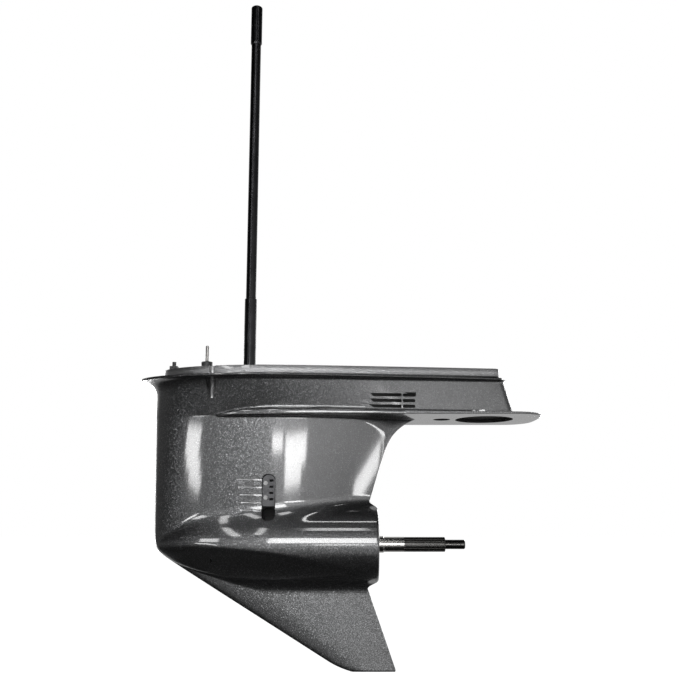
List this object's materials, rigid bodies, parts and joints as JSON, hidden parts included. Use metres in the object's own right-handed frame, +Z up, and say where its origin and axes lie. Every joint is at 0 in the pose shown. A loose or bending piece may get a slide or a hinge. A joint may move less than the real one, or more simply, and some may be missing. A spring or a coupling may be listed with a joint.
{
  "type": "outboard lower unit",
  "caption": "Outboard motor lower unit: gearcase with strut, torpedo, skeg and plate, upright drive shaft, splined propeller shaft, and forward-neutral-reverse bevel gears inside.",
  "frame": {"origin": "where the drive shaft's axis crosses the deck face that bolts up under the leg", "axes": "+X aft along the propeller shaft, +Y to starboard, +Z up along the drive shaft"},
  "size_m": [0.709, 0.18, 1.2404],
  "materials": {
    "gloss_paint": "cast aluminium, dark grey metallic gloss paint with fine flake",
    "cast_aluminium": "bare cast and machined aluminium",
    "stainless": "ground stainless steel",
    "dark_shaft": "blackened steel, satin, lightly oiled",
    "gear_steel": "case-hardened and ground steel",
    "bearing_steel": "ground bearing steel",
    "ring_nut_metal": "turned bronze",
    "black_plastic": "moulded glass-filled plastic",
    "grey_plastic": "moulded plastic, satin",
    "rubber": "nitrile rubber",
    "fibre": "pressed fibre gasket"
  },
  "bodies": {
    "casing": {"gearcase_housing": "gloss_paint", "drive_shaft_seal_housing": "cast_aluminium", "seal_housing_o_ring": "rubber", "drive_shaft_oil_seals": "rubber", "pump_base_gasket": "fibre", "pump_wear_plate": "stainless", "pump_housing": "black_plastic", "pump_cup": "stainless", "water_tube_grommet": "rubber", "pump_bolts": "stainless", "pinion_needle_bearing": "bearing_steel", "upper_bearing_shim": "bearing_steel", "upper_bearing_cup": "bearing_steel", "forward_bearing_cup": "bearing_steel", "forward_bearing_shim": "bearing_steel", "reverse_bearing_outer": "bearing_steel", "reverse_bearing_balls": "bearing_steel", "bearing_carrier": "cast_aluminium", "carrier_o_ring": "rubber", "propeller_shaft_needle_bearing": "bearing_steel", "propeller_shaft_oil_seals": "rubber", "carrier_tab_washer": "stainless", "carrier_ring_nut": "ring_nut_metal", "shift_rod_guide": "cast_aluminium", "water_inlet_cover_port": "grey_plastic", "water_inlet_cover_starboard": "grey_plastic", "inlet_cover_screws": "stainless", "oil_drain_plug": "stainless", "oil_drain_gasket": "fibre", "oil_level_plug": "stainless", "oil_level_gasket": "fibre", "deck_dowels": "stainless", "pitot_fitting": "cast_aluminium"},
    "drive_shaft": {"drive_shaft": "dark_shaft", "pinion_gear": "gear_steel", "pinion_nut": "gear_steel", "upper_bearing_cone": "bearing_steel", "pump_impeller": "rubber", "impeller_key": "stainless"},
    "forward_gear": {"forward_gear": "gear_steel", "forward_bearing_cone": "bearing_steel", "forward_gear_needles": "bearing_steel"},
    "reverse_gear": {"reverse_gear": "gear_steel", "reverse_bearing_inner": "bearing_steel"},
    "propeller_shaft": {"propeller_shaft": "stainless"},
    "clutch": {"clutch_dog": "gear_steel", "clutch_cross_pin": "stainless", "clutch_spring": "bearing_steel", "shift_link": "gear_steel", "shift_spool": "gear_steel"},
    "shift_rod": {"shift_rod": "stainless", "shift_crank": "gear_steel"}
  },
  "joints": [
    {"name": "forward_gear_spin", "type": "hinge", "parent": "casing", "child": "forward_gear", "pos_m": [-0.044, 0, -0.304], "axis": [1, 0, 0], "continuous": true},
    {"name": "reverse_gear_spin", "type": "hinge", "parent": "casing", "child": "reverse_gear", "pos_m": [0.044, 0, -0.304], "axis": [1, 0, 0], "continuous": true},
    {"name": "drive_shaft_spin", "type": "hinge", "parent": "casing", "child": "drive_shaft", "pos_m": [0, 0, -0.087], "axis": [0, 0, 1], "continuous": true},
    {"name": "propeller_shaft_spin", "type": "hinge", "parent": "casing", "child": "propeller_shaft", "pos_m": [0.162, 0, -0.304], "axis": [1, 0, 0], "continuous": true},
    {"name": "shift_rod_turn", "type": "hinge", "parent": "casing", "child": "shift_rod", "pos_m": [-0.077, 0, 0], "axis": [0, 0, 1], "range_deg": [-30, 30]},
    {"name": "clutch_slide", "type": "slide", "parent": "propeller_shaft", "child": "clutch", "axis": [1, 0, 0], "range_m": [-0.0045, 0.0045]}
  ],
  "couplings": [
    {"joint": "drive_shaft_spin", "follows": "forward_gear_spin", "ratio": 2},
    {"joint": "reverse_gear_spin", "follows": "forward_gear_spin", "ratio": -1},
    {"joint": "shift_rod_turn", "follows": "clutch_slide", "rad_per_m": -116.36}
  ]
}
